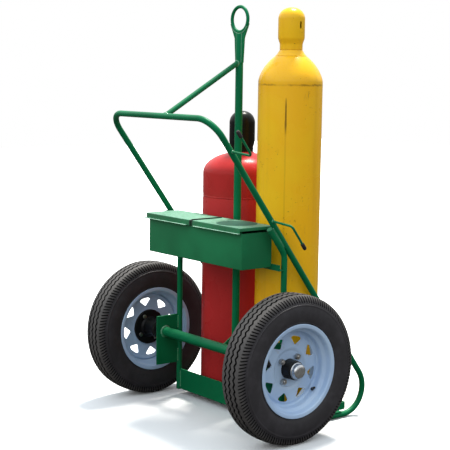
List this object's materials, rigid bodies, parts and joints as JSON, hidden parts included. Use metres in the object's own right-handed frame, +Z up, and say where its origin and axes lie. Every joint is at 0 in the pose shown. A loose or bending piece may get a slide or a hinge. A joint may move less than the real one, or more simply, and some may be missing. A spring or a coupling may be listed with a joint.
{
  "type": "oxy acetylene torch cart",
  "caption": "Two-wheel bent-tube cart holding an oxygen and an acetylene cylinder, with a lidded toolbox, hose hooks, retaining chain and a lifting eye.",
  "frame": {"origin": "on the ground, under the middle of the cart's outline", "axes": "+Z up; +X towards the side that carries the hose hooks; +Y from the push handle towards the skid loops"},
  "size_m": [0.9856, 0.7596, 1.5259],
  "materials": {
    "green_paint": "semi-gloss",
    "green_sheet_paint": "semi-gloss",
    "plated_steel": "satin",
    "bright_zinc": "bright",
    "hub_black": "semi-gloss",
    "rim_enamel": "gloss",
    "tyre_rubber": "matte",
    "black_rubber": "matte",
    "yellow_enamel": "gloss, scuffed",
    "red_enamel": "gloss, scuffed",
    "black_cap_enamel": "semi-gloss",
    "valve_brass": "satin"
  },
  "bodies": {
    "frame": {"axle_gusset": "green_paint", "axle_plate_left": "green_paint", "axle_plate_right": "green_paint", "axle_tube": "green_paint", "base_pan": "green_paint", "chain_anchor_left": "green_paint", "chain_anchor_right": "green_paint", "eye_plate": "green_paint", "handle_tube": "green_paint", "hinge_leaf_left": "plated_steel", "hinge_leaf_right": "plated_steel", "hinge_pin_left": "plated_steel", "hinge_pin_right": "plated_steel", "hook_tip_lower": "black_rubber", "hook_tip_upper": "black_rubber", "hose_hook_lower": "green_paint", "hose_hook_upper": "green_paint", "lifting_eye": "green_paint", "mast": "green_paint", "mast_brace": "green_paint", "retaining_chain": "bright_zinc", "spindle_left": "plated_steel", "spindle_nut_left": "plated_steel", "spindle_nut_right": "plated_steel", "spindle_right": "plated_steel", "toolbox_body": "green_sheet_paint", "toolbox_crossbar": "green_paint", "upright_left": "green_paint", "upright_right": "green_paint"},
    "wheel_left": {"tyre_left": "tyre_rubber", "rim_left": "rim_enamel", "hub_left": "hub_black", "inner_bearing_left": "plated_steel", "outer_bearing_left": "plated_steel", "dust_cap_left": "bright_zinc", "lug_nut_left_1": "plated_steel", "lug_nut_left_2": "plated_steel", "lug_nut_left_3": "plated_steel", "lug_nut_left_4": "plated_steel"},
    "wheel_right": {"tyre_right": "tyre_rubber", "rim_right": "rim_enamel", "hub_right": "hub_black", "inner_bearing_right": "plated_steel", "outer_bearing_right": "plated_steel", "dust_cap_right": "bright_zinc", "lug_nut_right_1": "plated_steel", "lug_nut_right_2": "plated_steel", "lug_nut_right_3": "plated_steel", "lug_nut_right_4": "plated_steel"},
    "lid_left": {"lid_left": "green_sheet_paint"},
    "lid_right": {"lid_right": "green_sheet_paint"},
    "oxygen": {"oxygen_cylinder": "yellow_enamel", "oxygen_neck_ring": "yellow_enamel", "oxygen_valve": "valve_brass"},
    "oxygen_handwheel": {"oxygen_handwheel": "hub_black"},
    "oxygen_cap": {"oxygen_cap": "yellow_enamel"},
    "acetylene": {"acetylene_cylinder": "red_enamel", "acetylene_valve": "valve_brass"},
    "acetylene_handwheel": {"acetylene_handwheel": "hub_black"},
    "acetylene_cap": {"acetylene_cap": "black_cap_enamel"}
  },
  "joints": [
    {"name": "wheel_left_spin", "type": "hinge", "parent": "frame", "child": "wheel_left", "pos_m": [-0.4277, -0.1073, 0.2646], "axis": [1, 0, 0], "continuous": true},
    {"name": "wheel_right_spin", "type": "hinge", "parent": "frame", "child": "wheel_right", "pos_m": [0.4277, -0.1073, 0.2646], "axis": [1, 0, 0], "continuous": true},
    {"name": "lid_left_hinge", "type": "hinge", "parent": "frame", "child": "lid_left", "pos_m": [-0.142, -0.0633, 0.7416], "axis": [-1, 0, 0], "range_deg": [0, 90]},
    {"name": "lid_right_hinge", "type": "hinge", "parent": "frame", "child": "lid_right", "pos_m": [0.142, -0.0633, 0.7416], "axis": [-1, 0, 0], "range_deg": [0, 90]},
    {"name": "oxygen_lift", "type": "slide", "parent": "frame", "child": "oxygen", "axis": [0, 0, 1], "range_m": [0, 0.1]},
    {"name": "oxygen_cap_off", "type": "slide", "parent": "oxygen", "child": "oxygen_cap", "axis": [0, 0, 1], "range_m": [0, 0.16]},
    {"name": "oxygen_valve_turn", "type": "hinge", "parent": "oxygen", "child": "oxygen_handwheel", "pos_m": [0.172, 0.0995, 1.4352], "axis": [0, 0, 1], "range_deg": [0, 720]},
    {"name": "acetylene_lift", "type": "slide", "parent": "frame", "child": "acetylene", "axis": [0, 0, 1], "range_m": [0, 0.1]},
    {"name": "acetylene_cap_off", "type": "slide", "parent": "acetylene", "child": "acetylene_cap", "axis": [0, 0, 1], "range_m": [0, 0.16]},
    {"name": "acetylene_valve_turn", "type": "hinge", "parent": "acetylene", "child": "acetylene_handwheel", "pos_m": [-0.138, 0.1285, 1.0646], "axis": [0, 0, 1], "range_deg": [0, 540]}
  ]
}
